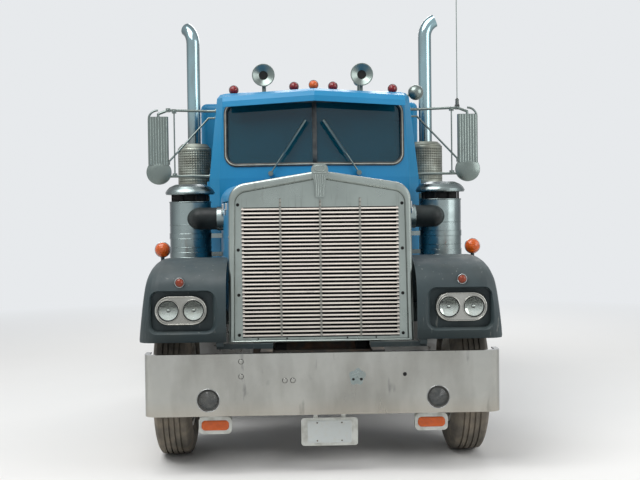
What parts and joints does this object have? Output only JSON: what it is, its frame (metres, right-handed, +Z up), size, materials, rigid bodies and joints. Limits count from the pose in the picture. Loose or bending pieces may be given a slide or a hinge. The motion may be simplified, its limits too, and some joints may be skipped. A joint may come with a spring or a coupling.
{
  "type": "truck tractor",
  "caption": "Long-nosed truck tractor with a flat-topped sleeper, barred radiator shell, separate fenders, upright stacks and a tilting coupling plate over the driven axles.",
  "frame": {"origin": "ground level under the middle of the truck's box", "axes": "+Z up, -Y towards the front bumper, +X towards the truck's left side"},
  "size_m": [2.8498, 7.61, 3.9],
  "materials": {
    "cab_blue": "gloss",
    "fender_black": "faded satin",
    "chrome": "polished",
    "steel": "brushed",
    "aluminium": "satin",
    "frame_black": "matt",
    "iron": "rough",
    "rubber": "matt",
    "tyre": "dusty",
    "white_paint": "satin",
    "clear_glass": "gloss",
    "amber_glass": "gloss",
    "red_glass": "gloss",
    "dark_glass": "gloss",
    "fabric": "woven",
    "plastic": "matt",
    "weathered": "weathered"
  },
  "bodies": {
    "chassis": {"frame": "frame_black", "front_bumper": "chrome", "bumper_hangers": "white_paint", "radiator_shell": "steel", "grille_bars": "aluminium", "hood_body": "cab_blue", "fenders": "fender_black", "headlamp_bezels": "chrome", "white_lamps": "clear_glass", "amber_lamps": "amber_glass", "red_lamps": "red_glass", "radiator_core": "frame_black", "engine_block": "iron", "gearbox": "aluminium", "front_axle": "iron", "suspension": "iron", "drive_axles": "iron", "cab_shell": "cab_blue", "windshield_glass": "dark_glass", "visor": "cab_blue", "roof_fittings": "chrome", "wipers": "frame_black", "sleeper_shell": "cab_blue", "sleeper_boot": "rubber", "seats_and_bunk": "fabric", "dashboard": "plastic", "air_cleaners": "steel", "intake_pipes": "rubber", "mufflers": "weathered", "exhaust_pipes": "chrome", "fuel_tanks": "aluminium", "step_boxes": "aluminium", "fifth_wheel_base": "iron", "mud_flaps": "rubber"},
    "hood_lid_left": {"hood_lid_left": "cab_blue"},
    "door_left": {"door_left": "cab_blue", "door_glass_left": "dark_glass", "mirror_left": "steel"},
    "knuckle_left": {"knuckle_left": "iron"},
    "wheel_front_left": {"tyre_front_left": "tyre", "rim_front_left": "white_paint"},
    "wheel_mid_left": {"tyres_mid_left": "tyre", "rims_mid_left": "white_paint"},
    "wheel_rear_left": {"tyres_rear_left": "tyre", "rims_rear_left": "white_paint"},
    "hood_lid_right": {"hood_lid_right": "cab_blue"},
    "door_right": {"door_right": "cab_blue", "door_glass_right": "dark_glass", "mirror_right": "steel"},
    "knuckle_right": {"knuckle_right": "iron"},
    "wheel_front_right": {"tyre_front_right": "tyre", "rim_front_right": "white_paint"},
    "wheel_mid_right": {"tyres_mid_right": "tyre", "rims_mid_right": "white_paint"},
    "wheel_rear_right": {"tyres_rear_right": "tyre", "rims_rear_right": "white_paint"},
    "tie_rod": {"tie_rod": "iron"},
    "steering_wheel": {"steering_wheel": "plastic"},
    "coupling_plate": {"fifth_wheel_plate": "iron"}
  },
  "joints": [
    {"name": "hood_lid_left_hinge", "type": "hinge", "parent": "chassis", "child": "hood_lid_left", "pos_m": [0.026, -2.925, 2.091], "axis": [0, -1, 0], "range_deg": [0, 70]},
    {"name": "hood_lid_right_hinge", "type": "hinge", "parent": "chassis", "child": "hood_lid_right", "pos_m": [-0.026, -2.925, 2.091], "axis": [0, 1, 0], "range_deg": [0, 70]},
    {"name": "door_left_hinge", "type": "hinge", "parent": "chassis", "child": "door_left", "pos_m": [0.897, -1.953, 1.7], "axis": [0, 0, -1], "range_deg": [0, 65]},
    {"name": "door_right_hinge", "type": "hinge", "parent": "chassis", "child": "door_right", "pos_m": [-0.897, -1.953, 1.7], "axis": [0, 0, 1], "range_deg": [0, 65]},
    {"name": "steer_left", "type": "hinge", "parent": "chassis", "child": "knuckle_left", "pos_m": [0.88, -3.045, 0.535], "axis": [0, 0, 1], "range_deg": [-35, 35]},
    {"name": "steer_right", "type": "hinge", "parent": "chassis", "child": "knuckle_right", "pos_m": [-0.88, -3.045, 0.535], "axis": [0, 0, 1], "range_deg": [-35, 35]},
    {"name": "tie_rod_pivot", "type": "hinge", "parent": "knuckle_left", "child": "tie_rod", "pos_m": [0.88, -2.845, 0.393], "axis": [0, 0, 1], "range_deg": [-35, 35]},
    {"name": "steering_wheel_turn", "type": "hinge", "parent": "chassis", "child": "steering_wheel", "pos_m": [0.42, -1.655, 1.99], "axis": [0, 0.6157, 0.788], "range_deg": [-630, 630]},
    {"name": "wheel_front_left_roll", "type": "hinge", "parent": "knuckle_left", "child": "wheel_front_left", "pos_m": [1.07, -3.045, 0.535], "axis": [1, 0, 0], "continuous": true},
    {"name": "wheel_mid_left_roll", "type": "hinge", "parent": "chassis", "child": "wheel_mid_left", "pos_m": [0.92, 1.895, 0.535], "axis": [1, 0, 0], "continuous": true},
    {"name": "wheel_rear_left_roll", "type": "hinge", "parent": "chassis", "child": "wheel_rear_left", "pos_m": [0.92, 3.215, 0.535], "axis": [1, 0, 0], "continuous": true},
    {"name": "wheel_front_right_roll", "type": "hinge", "parent": "knuckle_right", "child": "wheel_front_right", "pos_m": [-1.07, -3.045, 0.535], "axis": [1, 0, 0], "continuous": true},
    {"name": "wheel_mid_right_roll", "type": "hinge", "parent": "chassis", "child": "wheel_mid_right", "pos_m": [-0.92, 1.895, 0.535], "axis": [1, 0, 0], "continuous": true},
    {"name": "wheel_rear_right_roll", "type": "hinge", "parent": "chassis", "child": "wheel_rear_right", "pos_m": [-0.92, 3.215, 0.535], "axis": [1, 0, 0], "continuous": true},
    {"name": "coupling_plate_tilt", "type": "hinge", "parent": "chassis", "child": "coupling_plate", "pos_m": [0, 2.395, 1.12], "axis": [1, 0, 0], "range_deg": [-12, 12]}
  ],
  "couplings": [
    {"joint": "steer_right", "follows": "steer_left", "ratio": 1},
    {"joint": "tie_rod_pivot", "follows": "steer_left", "ratio": -1},
    {"joint": "steering_wheel_turn", "follows": "steer_left", "ratio": 18}
  ]
}
